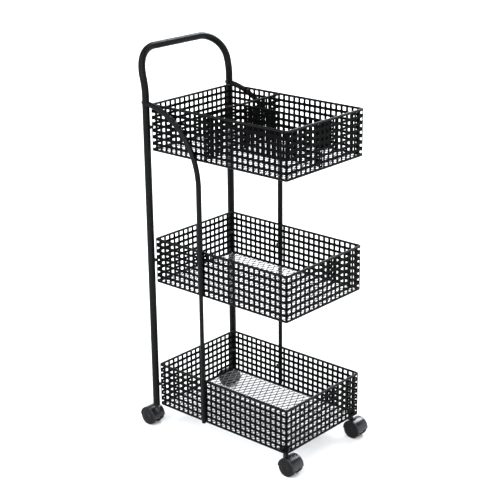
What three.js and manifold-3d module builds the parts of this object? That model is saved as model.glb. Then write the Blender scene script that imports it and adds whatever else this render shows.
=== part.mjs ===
// Rolling utility cart: a bent tube frame that carries three rectangular mesh baskets on
// four hooded twin-wheel casters.
// Millimetres, +Z up. +X is the cart's front, away from the handle, and -Y is its right side.
// The origin is on the ground, under the middle of the cart's bounding box.

import * as THREE from 'three';
import { mergeVertices } from 'three/addons/utils/BufferGeometryUtils.js';
import Module from 'manifold-3d';

const wasm = await Module();
wasm.setup();

// Clearance left between two pieces that touch, and how far a cutting tool runs past a face.
const GAP = 0.3;
const CUT_PAST = 2;

// Baskets: outside length, width and height over the rim wires.
const BASKET_LENGTH = 386;
const BASKET_WIDTH = 260;
const BASKET_HEIGHT = 106;
const BASKET_CORNER_R = 8;
const TIER_PITCH = 309;
const TIERS = ['bottom', 'middle', 'top'];
const GROUND_CLEARANCE = 50;
const RIM_WIRE_D = 5;
const RIM_CHAMFER = 1.46;
const WALL_INSET = 2;
const WALL_T = 1;
const FLOOR_T = 1.2;
const FLOOR_RISE = 1.9;
// Steps along half of each rounded corner.
const ARC_STEPS = 2;

// Dividers of the top basket, and the plate that ties the long one to the front wall.
const CROSS_DIVIDER_X = 153;
const LONG_DIVIDER_Y = -7.5;
const DIVIDER_T = 1;
const DIVIDER_WIRE_D = 4.4;
const DIVIDER_PLATE = { thickness: 1.5, width: 31, height: 54 };

// Frame tube: one inverted U whose upper end sweeps back into the handle.
const TUBE_D = 16;
const TUBE_WALL = 1.2;
const TUBE_BEHIND = 7;
const TUBE_OUTBOARD = 5.5;
const HANDLE_SWEEP_START = 789;
const HANDLE_SWEEP_R = 165;
const HANDLE_SWEEP_LENGTH = 106;
const HANDLE_CORNER_R = 64;
const HANDLE_SWEEP_STEPS = 3;
const HANDLE_CORNER_STEPS = 8;

// Braces: an upper tube that arcs from the post down to the middle basket, and a thinner
// lower tube that plugs into it and runs on to the bottom basket.
const BRACE_X = 146;
const BRACE_D = 11.6;
const BRACE_WALL = 0.8;
const BRACE_ARC_R = 165;
const BRACE_ARC_STEPS = 10;
const BRACE_ARC_CENTRE_Z = 610;
const BRACE_SPLIT_Z = 374;
const LOWER_BRACE_D = 9.2;
const LOWER_BRACE_OVERLAP = 20;
const LOWER_BRACE_END_Z = 52;
const BRACE_PLUG_LENGTH = 12;
const BRACE_STANDOFF = 1.2;

// Screws: M4 basket screws and the M5 bolts through the posts into the braces.
const SCREW_D = 4;
const SCREW_HEAD_D = 9;
const SCREW_HEAD_H = 2.4;
const CORNER_HEAD_D = 6.4;
const CORNER_HEAD_FROM_ARC = 3.4;
const BOLT_D = 5;
const BOLT_HEAD_D = 9.5;
const HOLE_CLEARANCE = 0.6;
const BOSS_D = 8;
// A pan head's flat crown, as a share of its diameter, and its rounded edge, as a share of
// its height.
const HEAD_CROWN = 0.64;
const HEAD_EDGE = 0.5;
// How deep a boss sits in the post's wall, and how much of the plug a bolt's shank fills.
const BOSS_SEAT = 0.6;
const BOLT_ENGAGEMENT = 0.8;

// Casters.
const WHEEL_R = 21;
const WHEEL_W = 11.5;
const WHEEL_INNER_Y = 6.4;
const HOOD_R = 22.5;
const HOOD_SHELL = 1;
const HOOD_HALF_WIDTH = 18;
const CORE_HALF_WIDTH = 6;
const CORE_R = 19.5;
const TRAIL = 14;
const AXLE_D = 5;
const STEM_D = 8;
const STEM_COLLAR_D = 10.4;
const STEM_TOP_Z = 72;
const STEM_FOOT_Z = 24;
const CASTER_INSET = 12.5;
// The fender's lower edge and the core's, below the axle.
const FENDER_DROP = 1;
const CORE_DROP = 8;
// How far the axle's ends stay inside the wheels' outer faces, and the blind bore's end.
const AXLE_END_INSET = 4;
const BORE_END_INSET = 2.5;
const WHEEL_EDGE_ROUND = 2.4;
const WHEEL_INNER_CHAMFER = 1.2;

// Caster sockets.
const SOCKET_BODY_D = 12.4;
const SOCKET_FLANGE_D = 13.6;
const SOCKET_FLANGE_T = 1.4;
const SOCKET_BORE_R = STEM_D / 2 + GAP;
const SOCKET_ABOVE_STEM = 3;
const SOCKET_FOOT_LIFT = 0.2;
const GUSSET = { inset: 6.2, size: 30, thickness: 1.6 };

// Half of the basket's width, and the planes that the posts and braces stand in.
const HALF_WIDTH = BASKET_WIDTH / 2;
const POST_X = -TUBE_BEHIND;
const POST_Y = HALF_WIDTH + TUBE_OUTBOARD;
const BRACE_Y = HALF_WIDTH + GAP + BRACE_D / 2;

// Colours of the finishes.
const POWDER_COAT = { color: '#2a2b2d', roughness: 0.5, metalness: 0.35 };
const ZINC = { color: '#8e9092', roughness: 0.4, metalness: 0.9 };
const NYLON = { color: '#26272a', roughness: 0.32, metalness: 0 };
const TREAD = { color: '#333336', roughness: 0.6, metalness: 0 };

// Lower faces of the three baskets.
const tierZ = TIERS.map((_, i) => GROUND_CLEARANCE + i * TIER_PITCH);

// The reach of the cart behind and ahead of the baskets' rear edge sets the origin.
const sweepAngle = HANDLE_SWEEP_LENGTH / HANDLE_SWEEP_R;
const rearReach = TUBE_BEHIND + HANDLE_SWEEP_R * (1 - Math.cos(sweepAngle)) + TUBE_D / 2;
const frontReach = BASKET_LENGTH - CASTER_INSET + TRAIL + HOOD_R;

const cart = new THREE.Group();
cart.name = 'rolling_utility_cart';

// Everything is placed from the middle of the baskets' rear edge.
const body = new THREE.Group();
body.position.x = -(frontReach - rearReach) / 2;
cart.add(body);

function addPart(parent, name, geometry, finish) {
  const mesh = new THREE.Mesh(geometry, new THREE.MeshStandardMaterial(finish));
  mesh.name = name;
  parent.add(mesh);
  return mesh;
}

// ---- Solids: joining and cutting -------------------------------------------------------

function toSolid(geometry) {
  const bare = geometry.clone();
  bare.deleteAttribute('normal');
  bare.deleteAttribute('uv');
  const merged = mergeVertices(bare, 1e-4);
  return new wasm.Manifold(new wasm.Mesh({
    numProp: 3,
    vertProperties: new Float32Array(merged.attributes.position.array),
    triVerts: new Uint32Array(merged.index.array),
  }));
}

function toGeometry(solid) {
  const mesh = solid.getMesh();
  const geometry = new THREE.BufferGeometry();
  geometry.setAttribute('position', new THREE.BufferAttribute(mesh.vertProperties, 3));
  geometry.setIndex(new THREE.BufferAttribute(mesh.triVerts, 1));
  geometry.computeVertexNormals();
  return geometry;
}

function cut(geometry, tools) {
  return toGeometry(tools.reduce((solid, tool) => solid.subtract(toSolid(tool)), toSolid(geometry)));
}

function join(geometries) {
  return toGeometry(geometries.map(toSolid).reduce((a, b) => a.add(b)));
}

// ---- Shapes that several parts share ---------------------------------------------------

// A cylinder from one point to another.
function rod(from, to, diameter, sides = 10) {
  const axis = new THREE.Vector3().subVectors(to, from);
  const geometry = new THREE.CylinderGeometry(diameter / 2, diameter / 2, axis.length(), sides);
  const turn = new THREE.Quaternion().setFromUnitVectors(
    new THREE.Vector3(0, 1, 0), axis.clone().normalize());
  geometry.applyQuaternion(turn);
  const middle = new THREE.Vector3().addVectors(from, to).multiplyScalar(0.5);
  geometry.translate(middle.x, middle.y, middle.z);
  return geometry;
}

function box(x0, x1, y0, y1, z0, z1) {
  const geometry = new THREE.BoxGeometry(x1 - x0, y1 - y0, z1 - z0);
  geometry.translate((x0 + x1) / 2, (y0 + y1) / 2, (z0 + z1) / 2);
  return geometry;
}

// A curve whose sections stand exactly on its listed stations.
class StationCurve extends THREE.Curve {
  constructor(stations) {
    super();
    this.stations = stations;
  }

  getPoint(t, target = new THREE.Vector3()) {
    const place = t * (this.stations.length - 1);
    const i = Math.min(Math.round(place), this.stations.length - 1);
    return target.copy(this.stations[i]);
  }

  getPointAt(u, target) {
    return this.getPoint(u, target);
  }

  getTangentAt(u, target = new THREE.Vector3()) {
    const last = this.stations.length - 1;
    const i = Math.round(u * last);
    target.set(0, 0, 0);
    if (i > 0) {
      target.add(new THREE.Vector3().subVectors(this.stations[i], this.stations[i - 1]).normalize());
    }
    if (i < last) {
      target.add(new THREE.Vector3().subVectors(this.stations[i + 1], this.stations[i]).normalize());
    }
    return target.normalize();
  }
}

function circlePoints(x, y, radius, sides) {
  return Array.from({ length: sides }, (_, i) => {
    const angle = 2 * Math.PI * i / sides;
    return new THREE.Vector2(x + radius * Math.cos(angle), y + radius * Math.sin(angle));
  });
}

// A round tube along the stations, open at both ends.
function tube(stations, diameter, wall, outerSides, innerSides) {
  const section = new THREE.Shape(circlePoints(0, 0, diameter / 2, outerSides));
  section.holes.push(new THREE.Path(circlePoints(0, 0, diameter / 2 - wall, innerSides).reverse()));
  return new THREE.ExtrudeGeometry(section, {
    steps: stations.length - 1,
    extrudePath: new StationCurve(stations),
    bevelEnabled: false,
  });
}

// The basket's rounded rectangle, drawn inset from its outside.
function basketOutline(inset, Kind = THREE.Shape) {
  const x0 = inset;
  const x1 = BASKET_LENGTH - inset;
  const y = HALF_WIDTH - inset;
  const r = BASKET_CORNER_R - inset;
  const outline = new Kind();
  outline.moveTo(x0 + r, -y);
  outline.lineTo(x1 - r, -y);
  outline.absarc(x1 - r, -y + r, r, -Math.PI / 2, 0);
  outline.lineTo(x1, y - r);
  outline.absarc(x1 - r, y - r, r, 0, Math.PI / 2);
  outline.lineTo(x0 + r, y);
  outline.absarc(x0 + r, y - r, r, Math.PI / 2, Math.PI);
  outline.lineTo(x0, -y + r);
  outline.absarc(x0 + r, -y + r, r, Math.PI, Math.PI * 1.5);
  return outline;
}

// A ring between two insets of the basket's outline.
function basketRing(outerInset, innerInset, options) {
  const ring = basketOutline(outerInset);
  ring.holes.push(basketOutline(innerInset, THREE.Path));
  return new THREE.ExtrudeGeometry(ring, { curveSegments: ARC_STEPS, ...options });
}

// ---- Screws ----------------------------------------------------------------------------

// A pan-head screw along +Y: head first, from y = 0, then the shank.
function screw(headDiameter, headHeight, diameter, length) {
  const profile = [
    [0, 0],
    [headDiameter * HEAD_CROWN / 2, 0],
    [headDiameter / 2, headHeight * HEAD_EDGE],
    [headDiameter / 2, headHeight],
    [diameter / 2, headHeight],
    [diameter / 2, headHeight + length],
    [0, headHeight + length],
  ];
  return new THREE.LatheGeometry(profile.map(([x, y]) => new THREE.Vector2(x, y)), 10);
}

// Places a screw with its head's face at a point and its shank along a direction.
function addScrew(name, geometry, headFace, direction, finish = ZINC) {
  const mesh = addPart(body, name, geometry, finish);
  mesh.position.copy(headFace);
  mesh.quaternion.setFromUnitVectors(new THREE.Vector3(0, 1, 0), direction.clone().normalize());
}

// The line of a corner screw: from the centre of the basket's rear corner arc to the post.
function cornerScrewLine(side, z) {
  const arcCentre = new THREE.Vector3(BASKET_CORNER_R, side * (HALF_WIDTH - BASKET_CORNER_R), z);
  const post = new THREE.Vector3(POST_X, side * POST_Y, z);
  const direction = new THREE.Vector3().subVectors(post, arcCentre);
  const reach = direction.length();
  direction.normalize();
  const at = distance => arcCentre.clone().addScaledVector(direction, distance);
  return { post, direction, reach, at };
}

const SIDES = [['right', -1], ['left', 1]];
const screwZ = tierZ.map(z => z + BASKET_HEIGHT / 2);

// ---- Frame tube ------------------------------------------------------------------------

// A point of the flat U, at height s and across y, once its top is swept back.
function sweptPoint(s, y) {
  if (s <= HANDLE_SWEEP_START) {
    return new THREE.Vector3(POST_X, y, s);
  }
  const angle = (s - HANDLE_SWEEP_START) / HANDLE_SWEEP_R;
  return new THREE.Vector3(
    POST_X - HANDLE_SWEEP_R * (1 - Math.cos(angle)),
    y,
    HANDLE_SWEEP_START + HANDLE_SWEEP_R * Math.sin(angle),
  );
}

// Half of the U, from the foot of the left post up to the end of its corner.
function halfFrame() {
  const top = HANDLE_SWEEP_START + HANDLE_SWEEP_LENGTH;
  const cornerStart = top - HANDLE_CORNER_R;
  const stations = [sweptPoint(GROUND_CLEARANCE, POST_Y)];
  for (let i = 0; i < HANDLE_SWEEP_STEPS; i++) {
    const s = HANDLE_SWEEP_START + (cornerStart - HANDLE_SWEEP_START) * i / HANDLE_SWEEP_STEPS;
    stations.push(sweptPoint(s, POST_Y));
  }
  for (let i = 0; i <= HANDLE_CORNER_STEPS; i++) {
    const angle = Math.PI / 2 * i / HANDLE_CORNER_STEPS;
    const s = cornerStart + HANDLE_CORNER_R * Math.sin(angle);
    const y = POST_Y - HANDLE_CORNER_R * (1 - Math.cos(angle));
    stations.push(sweptPoint(s, y));
  }
  return stations;
}

function braceStart() {
  const x = POST_X + TUBE_D / 2 + BRACE_STANDOFF;
  const angle = Math.asin((x - BRACE_X + BRACE_ARC_R) / BRACE_ARC_R);
  return { x, angle, z: BRACE_ARC_CENTRE_Z + BRACE_ARC_R * Math.cos(angle) };
}

// How far forward the brace's axis is at a height.
function braceXAt(z) {
  const rise = Math.max(0, z - BRACE_ARC_CENTRE_Z) / BRACE_ARC_R;
  return BRACE_X - BRACE_ARC_R * (1 - Math.sqrt(1 - rise * rise));
}

// The bolt's line runs along the brace's first stretch, back through the post.
function braceBoltLine(side) {
  const { x, angle, z } = braceStart();
  const start = new THREE.Vector3(x, side * POST_Y, z);
  const direction = new THREE.Vector3(Math.cos(angle), 0, -Math.sin(angle));
  return { start, direction, at: distance => start.clone().addScaledVector(direction, distance) };
}

function frameTube() {
  const left = halfFrame();
  const right = left.map(p => new THREE.Vector3(p.x, -p.y, p.z)).reverse();
  const pieces = [tube([...left, ...right], TUBE_D, TUBE_WALL, 12, 8)];
  const holes = [];
  const bossEnd = reach => reach - (BASKET_CORNER_R - WALL_INSET) - GAP;
  for (const [, side] of SIDES) {
    for (const z of screwZ) {
      const { post, direction, reach } = cornerScrewLine(side, z);
      const from = post.clone().addScaledVector(direction, -(TUBE_D / 2 - TUBE_WALL * BOSS_SEAT));
      const to = post.clone().addScaledVector(direction, -bossEnd(reach));
      pieces.push(rod(from, to, BOSS_D));
      const past = to.clone().addScaledVector(direction, -CUT_PAST);
      holes.push(rod(post, past, SCREW_D + HOLE_CLEARANCE));
    }
    const bolt = braceBoltLine(side);
    const behindPost = bolt.at(-(TUBE_D + BRACE_STANDOFF + CUT_PAST));
    holes.push(rod(behindPost, bolt.at(GAP), BOLT_D + HOLE_CLEARANCE));
  }
  return cut(join(pieces), holes);
}

addPart(body, 'frame_tube', frameTube(), POWDER_COAT);

// ---- Braces ----------------------------------------------------------------------------

function upperBrace(side) {
  const start = braceStart();
  const stations = [];
  for (let i = 0; i <= BRACE_ARC_STEPS; i++) {
    const angle = start.angle + (Math.PI / 2 - start.angle) * i / BRACE_ARC_STEPS;
    stations.push(new THREE.Vector3(
      BRACE_X - BRACE_ARC_R + BRACE_ARC_R * Math.sin(angle),
      side * BRACE_Y,
      BRACE_ARC_CENTRE_Z + BRACE_ARC_R * Math.cos(angle),
    ));
  }
  stations.push(new THREE.Vector3(BRACE_X, side * BRACE_Y, BRACE_SPLIT_Z));
  const shell = tube(stations, BRACE_D, BRACE_WALL, 12, 12);
  const bolt = braceBoltLine(side);
  const toBrace = new THREE.Vector3(0, side * (BRACE_Y - POST_Y), 0);
  const plug = rod(bolt.at(0).add(toBrace), bolt.at(BRACE_PLUG_LENGTH).add(toBrace),
    BRACE_D - BRACE_WALL);
  const holes = [rod(bolt.at(-CUT_PAST / 2), bolt.at(BRACE_PLUG_LENGTH + CUT_PAST),
    BOLT_D + HOLE_CLEARANCE)];
  for (const z of screwZ.slice(1)) {
    holes.push(braceHole(side, z));
  }
  return cut(join([shell, plug]), holes);
}

function braceHole(side, z) {
  return rod(new THREE.Vector3(braceXAt(z), side * HALF_WIDTH, z),
    new THREE.Vector3(braceXAt(z), side * BRACE_Y, z), SCREW_D + HOLE_CLEARANCE);
}

function lowerBrace(side) {
  const stations = [BRACE_SPLIT_Z + LOWER_BRACE_OVERLAP, LOWER_BRACE_END_Z]
    .map(z => new THREE.Vector3(BRACE_X, side * BRACE_Y, z));
  return cut(tube(stations, LOWER_BRACE_D, BRACE_WALL, 12, 8), [braceHole(side, screwZ[0])]);
}

for (const [sideName, side] of SIDES) {
  addPart(body, `${sideName}_brace_upper`, upperBrace(side), POWDER_COAT);
  addPart(body, `${sideName}_brace_lower`, lowerBrace(side), POWDER_COAT);
  const bolt = braceBoltLine(side);
  const headSeat = TUBE_D + BRACE_STANDOFF + 4 * GAP;
  const shankLength = headSeat + BRACE_PLUG_LENGTH * BOLT_ENGAGEMENT;
  const headFace = bolt.at(-(headSeat + SCREW_HEAD_H));
  addScrew(`${sideName}_brace_bolt`, screw(BOLT_HEAD_D, SCREW_HEAD_H, BOLT_D, shankLength),
    headFace, bolt.direction);
}

// ---- Baskets ---------------------------------------------------------------------------

function rimWire() {
  const flat = RIM_WIRE_D - 2 * RIM_CHAMFER;
  const ring = basketRing(RIM_CHAMFER, RIM_CHAMFER + flat, {
    depth: flat,
    bevelEnabled: true,
    bevelThickness: RIM_CHAMFER,
    bevelSize: RIM_CHAMFER,
    bevelSegments: 1,
  });
  ring.translate(0, 0, RIM_CHAMFER);
  return ring;
}

// The wall is one strip of mesh, bent round the basket between its two rim wires.
function basketWall(bottomZ) {
  const depth = BASKET_HEIGHT - 2 * (RIM_WIRE_D + GAP);
  const wall = basketRing(WALL_INSET, WALL_INSET + WALL_T, { depth, bevelEnabled: false });
  wall.translate(0, 0, bottomZ + RIM_WIRE_D + GAP);
  const z = bottomZ + BASKET_HEIGHT / 2;
  const holes = [];
  for (const [, side] of SIDES) {
    const { at } = cornerScrewLine(side, z);
    holes.push(rod(at(CORNER_HEAD_FROM_ARC), at(BASKET_CORNER_R), SCREW_D + HOLE_CLEARANCE));
    const insideY = HALF_WIDTH - WALL_INSET - WALL_T - CUT_PAST / 2;
    holes.push(rod(new THREE.Vector3(braceXAt(z), side * insideY, z),
      new THREE.Vector3(braceXAt(z), side * HALF_WIDTH, z), SCREW_D + HOLE_CLEARANCE));
  }
  return cut(wall, holes);
}

function basketFloor(holes) {
  const sheet = basketOutline(RIM_WIRE_D + GAP);
  for (const [x, y, diameter] of holes) {
    sheet.holes.push(new THREE.Path(circlePoints(x, y, diameter / 2, 12).reverse()));
  }
  return new THREE.ExtrudeGeometry(sheet, {
    depth: FLOOR_T,
    bevelEnabled: false,
    curveSegments: ARC_STEPS,
  });
}

const frontCasterX = BASKET_LENGTH - CASTER_INSET;
const casterY = HALF_WIDTH - CASTER_INSET;

TIERS.forEach((tier, i) => {
  const z = tierZ[i];
  addPart(body, `${tier}_basket_wall`, basketWall(z), POWDER_COAT);
  addPart(body, `${tier}_basket_bottom_rim`, rimWire(), POWDER_COAT).position.z = z;
  addPart(body, `${tier}_basket_top_rim`, rimWire(), POWDER_COAT)
    .position.z = z + BASKET_HEIGHT - RIM_WIRE_D;
  const stemHoles = i === 0
    ? SIDES.map(([, side]) => [frontCasterX, side * casterY, SOCKET_BODY_D + 2 * GAP])
    : [];
  addPart(body, `${tier}_basket_floor`, basketFloor(stemHoles), POWDER_COAT)
    .position.z = z + FLOOR_RISE;

  for (const [sideName, side] of SIDES) {
    const corner = cornerScrewLine(side, screwZ[i]);
    addScrew(`${tier}_${sideName}_corner_screw`,
      screw(CORNER_HEAD_D, SCREW_HEAD_H, SCREW_D, corner.reach - CORNER_HEAD_FROM_ARC - BOSS_SEAT),
      corner.at(CORNER_HEAD_FROM_ARC - SCREW_HEAD_H), corner.direction);
    const headFaceY = HALF_WIDTH - WALL_INSET - WALL_T - GAP - SCREW_HEAD_H;
    addScrew(`${tier}_${sideName}_brace_screw`,
      screw(SCREW_HEAD_D, SCREW_HEAD_H, SCREW_D, BRACE_Y - HALF_WIDTH + WALL_INSET),
      new THREE.Vector3(braceXAt(screwZ[i]), side * headFaceY, screwZ[i]),
      new THREE.Vector3(0, side, 0));
  }
});

// ---- Dividers of the top basket --------------------------------------------------------

const dividerInset = RIM_WIRE_D + GAP;
const dividerFootZ = tierZ[2] + FLOOR_RISE + FLOOR_T + GAP;
const dividerWireZ = tierZ[2] + BASKET_HEIGHT - RIM_WIRE_D / 2;

function crossDivider() {
  const y = HALF_WIDTH - dividerInset;
  const x = CROSS_DIVIDER_X;
  return join([
    box(x - DIVIDER_T / 2, x + DIVIDER_T / 2, -y, y, dividerFootZ, dividerWireZ),
    rod(new THREE.Vector3(x, -y, dividerWireZ), new THREE.Vector3(x, y, dividerWireZ),
      DIVIDER_WIRE_D, 8),
  ]);
}

function longDivider() {
  const x0 = CROSS_DIVIDER_X + DIVIDER_WIRE_D / 2 + GAP;
  const x1 = BASKET_LENGTH - dividerInset;
  const y = LONG_DIVIDER_Y;
  return join([
    box(x0, x1, y - DIVIDER_T / 2, y + DIVIDER_T / 2, dividerFootZ, dividerWireZ),
    rod(new THREE.Vector3(x0, y, dividerWireZ), new THREE.Vector3(x1, y, dividerWireZ),
      DIVIDER_WIRE_D, 8),
  ]);
}

function dividerPlate() {
  const outerX = BASKET_LENGTH - WALL_INSET - WALL_T - GAP;
  const topZ = tierZ[2] + BASKET_HEIGHT - RIM_WIRE_D - GAP;
  const { thickness, width, height } = DIVIDER_PLATE;
  return box(outerX - thickness, outerX, LONG_DIVIDER_Y - width / 2, LONG_DIVIDER_Y + width / 2,
    topZ - height, topZ);
}

addPart(body, 'cross_divider', crossDivider(), POWDER_COAT);
addPart(body, 'long_divider', longDivider(), POWDER_COAT);
addPart(body, 'long_divider_end_plate', dividerPlate(), POWDER_COAT);

// ---- Caster sockets --------------------------------------------------------------------

// Rear: a flanged sleeve pressed into the foot of the post.
function rearSocket() {
  const sleeveR = TUBE_D / 2 - TUBE_WALL - 2 * GAP;
  const top = STEM_TOP_Z + SOCKET_ABOVE_STEM;
  const flangeTop = GROUND_CLEARANCE - GAP;
  const profile = [
    [SOCKET_BORE_R, flangeTop - SOCKET_FLANGE_T],
    [TUBE_D / 2, flangeTop - SOCKET_FLANGE_T],
    [TUBE_D / 2, flangeTop],
    [sleeveR, flangeTop],
    [sleeveR, top],
    [SOCKET_BORE_R, top],
    [SOCKET_BORE_R, flangeTop - SOCKET_FLANGE_T],
  ];
  return new THREE.LatheGeometry(profile.map(([x, y]) => new THREE.Vector2(x, y)), 12)
    .rotateX(Math.PI / 2);
}

// Front: a boss welded to a gusset that lies on the floor mesh in the basket's corner.
function frontSocket(side) {
  const foot = GROUND_CLEARANCE + SOCKET_FOOT_LIFT;
  const top = STEM_TOP_Z + SOCKET_ABOVE_STEM;
  const floorTop = GROUND_CLEARANCE + FLOOR_RISE + FLOOR_T;
  const outlineX = BASKET_LENGTH - GUSSET.inset;
  const outlineY = side * (HALF_WIDTH - GUSSET.inset);
  const at = z => new THREE.Vector3(frontCasterX, side * casterY, z);
  const gusset = box(outlineX - GUSSET.size, outlineX,
    Math.min(outlineY, outlineY - side * GUSSET.size),
    Math.max(outlineY, outlineY - side * GUSSET.size),
    floorTop + GAP, floorTop + GAP + GUSSET.thickness);
  const boss = rod(at(foot), at(top), SOCKET_BODY_D, 12);
  const flange = rod(at(foot), at(foot + SOCKET_FLANGE_T), SOCKET_FLANGE_D, 12);
  const bore = rod(at(foot - CUT_PAST), at(top + CUT_PAST), 2 * SOCKET_BORE_R);
  return cut(join([gusset, boss, flange]), [bore]);
}

// ---- Casters ---------------------------------------------------------------------------

// Each is drawn round its swivel axis, with the ground at z = 0 and its wheels trailing
// towards +X.

function stem() {
  const collarFoot = WHEEL_R + HOOD_R + GAP;
  const collarTop = GROUND_CLEARANCE - SOCKET_FLANGE_T - 2 * GAP;
  const profile = [
    [0, STEM_FOOT_Z],
    [STEM_D / 2, STEM_FOOT_Z],
    [STEM_D / 2, collarFoot],
    [STEM_COLLAR_D / 2, collarFoot],
    [STEM_COLLAR_D / 2, collarTop],
    [STEM_D / 2, collarTop],
    [STEM_D / 2, STEM_TOP_Z],
    [0, STEM_TOP_Z],
  ];
  return new THREE.LatheGeometry(profile.map(([x, y]) => new THREE.Vector2(x, y)), 10)
    .rotateX(Math.PI / 2);
}

// A cylinder round the axle.
function axleCylinder(radius, halfWidth, sides) {
  return new THREE.CylinderGeometry(radius, radius, 2 * halfWidth, sides)
    .translate(TRAIL, 0, WHEEL_R);
}

// A fender over both wheels, on a core between them that holds the stem and the axle.
function hood() {
  const wide = HOOD_HALF_WIDTH + CUT_PAST;
  const reach = HOOD_R + CUT_PAST;
  const fenderFoot = WHEEL_R - FENDER_DROP;
  const coreFoot = WHEEL_R - CORE_DROP;
  const below = z => toSolid(box(TRAIL - 2 * reach, TRAIL + reach, -wide, wide, -reach, z));
  const fender = toSolid(axleCylinder(HOOD_R, HOOD_HALF_WIDTH, 28))
    .subtract(toSolid(axleCylinder(HOOD_R - HOOD_SHELL, wide, 28)))
    .subtract(below(fenderFoot));
  const core = toSolid(axleCylinder(CORE_R, CORE_HALF_WIDTH, 20)).subtract(below(coreFoot));
  const rib = toSolid(axleCylinder(HOOD_R - HOOD_SHELL / 2, CORE_HALF_WIDTH, 28))
    .subtract(below(fenderFoot));
  const collar = toSolid(rod(new THREE.Vector3(0, 0, fenderFoot),
    new THREE.Vector3(0, 0, WHEEL_R + HOOD_R), 2 * CORE_HALF_WIDTH, 12));
  const stemBore = toSolid(rod(new THREE.Vector3(0, 0, STEM_FOOT_Z - GAP),
    new THREE.Vector3(0, 0, WHEEL_R + HOOD_R + CUT_PAST), STEM_D + 2 * GAP));
  const axleBore = toSolid(axleCylinder(AXLE_D / 2 + GAP, wide, 10));
  return toGeometry(core.add(rib).add(fender).add(collar).subtract(stemBore).subtract(axleBore));
}

// A wheel with a closed outer face and a blind bore for the axle, on its +Y side.
function wheel() {
  const bore = AXLE_D / 2 + GAP;
  const outer = WHEEL_W / 2;
  const profile = [
    [0, outer - BORE_END_INSET],
    [bore, outer - BORE_END_INSET],
    [bore, -outer],
    [WHEEL_R - WHEEL_INNER_CHAMFER, -outer],
    [WHEEL_R, -outer + WHEEL_INNER_CHAMFER],
    [WHEEL_R, outer - WHEEL_EDGE_ROUND],
    [WHEEL_R - WHEEL_EDGE_ROUND, outer],
    [0, outer],
  ];
  return new THREE.LatheGeometry(profile.map(([x, y]) => new THREE.Vector2(x, y)), 24);
}

function addCaster(name, x, y, socket, sidewaysOut, turn) {
  addPart(body, `${name}_caster_socket`, socket, ZINC);
  const caster = new THREE.Group();
  caster.position.set(x, y, 0);
  caster.rotation.z = turn;
  body.add(caster);
  addPart(caster, `${name}_caster_stem`, stem(), ZINC);
  addPart(caster, `${name}_caster_hood`, hood(), NYLON);
  const axleHalf = WHEEL_INNER_Y + WHEEL_W - AXLE_END_INSET;
  addPart(caster, `${name}_caster_axle`, axleCylinder(AXLE_D / 2, axleHalf, 10), ZINC);
  for (const [position, direction] of [['outer', sidewaysOut], ['inner', -sidewaysOut]]) {
    const local = direction * Math.cos(turn);
    const mesh = addPart(caster, `${name}_wheel_${position}`, wheel(), TREAD);
    mesh.position.set(TRAIL, local * (WHEEL_INNER_Y + WHEEL_W / 2), WHEEL_R);
    mesh.rotation.z = local > 0 ? 0 : Math.PI;
  }
}

for (const [sideName, side] of SIDES) {
  const socket = rearSocket().translate(POST_X, side * POST_Y, 0);
  addCaster(`rear_${sideName}`, POST_X, side * POST_Y, socket, side, Math.PI);
  addCaster(`front_${sideName}`, frontCasterX, side * casterY, frontSocket(side), side, 0);
}

export default cart;
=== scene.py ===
"""Rolling utility cart: three square-mesh baskets on a bent tube frame with hooded twin-wheel casters.

Metres, +Z up. +X is the cart's front, away from the handle, and -Y is its right side.
"""

from math import acos, asin, atan2, cos, pi, radians, sin, sqrt

import bmesh
import bpy
from bpy.props import FloatProperty, FloatVectorProperty, IntProperty, PointerProperty
from mathutils import Matrix, Vector


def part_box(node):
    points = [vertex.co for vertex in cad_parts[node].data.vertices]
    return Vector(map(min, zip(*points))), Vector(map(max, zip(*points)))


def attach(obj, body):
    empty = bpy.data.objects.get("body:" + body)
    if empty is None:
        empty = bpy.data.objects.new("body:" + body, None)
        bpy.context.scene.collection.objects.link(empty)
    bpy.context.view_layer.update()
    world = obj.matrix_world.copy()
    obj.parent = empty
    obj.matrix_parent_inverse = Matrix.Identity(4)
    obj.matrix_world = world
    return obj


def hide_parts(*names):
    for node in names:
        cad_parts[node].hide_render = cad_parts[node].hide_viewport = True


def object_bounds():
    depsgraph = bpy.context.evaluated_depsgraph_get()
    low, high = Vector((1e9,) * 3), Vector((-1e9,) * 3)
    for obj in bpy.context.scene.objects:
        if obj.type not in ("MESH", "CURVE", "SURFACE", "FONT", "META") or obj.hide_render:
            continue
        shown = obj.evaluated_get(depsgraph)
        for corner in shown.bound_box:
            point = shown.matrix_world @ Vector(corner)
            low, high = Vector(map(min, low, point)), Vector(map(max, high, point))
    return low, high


bl_info = {
    "name": "Rolling Utility Cart",
    "version": (1, 0, 0),
    "blender": (4, 5, 0),
    "location": "View3D > Sidebar > Cart",
    "description": "Builds a rolling utility cart with mesh baskets around its packed frame",
    "category": "Add Mesh",
}

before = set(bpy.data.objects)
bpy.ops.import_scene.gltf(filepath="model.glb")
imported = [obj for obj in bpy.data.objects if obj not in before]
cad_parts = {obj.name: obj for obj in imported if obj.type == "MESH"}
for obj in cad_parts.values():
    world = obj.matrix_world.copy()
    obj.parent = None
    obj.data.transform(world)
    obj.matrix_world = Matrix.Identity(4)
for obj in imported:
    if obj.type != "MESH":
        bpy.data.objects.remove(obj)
CAD_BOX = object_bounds()

TIERS = ("bottom", "middle", "top")
SIDES = ("right", "left")
ENDS = ("rear", "front")

# Points that lie closer than this are one point.
MERGE = 2e-6
# The small chamfer on turned parts, the thickness of the punched sheet, and how far up the
# plugs sit inside the open tubes.
CHAMFER = 0.0004
SHEET = 0.001
PLUG_DEPTH = 0.03
# The bore of the caster sockets and the radius of the pin that turns in it.
SOCKET_BORE = 0.0043
PIN = 0.004
X, Y, Z = Vector((1, 0, 0)), Vector((0, 1, 0)), Vector((0, 0, 1))

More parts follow.
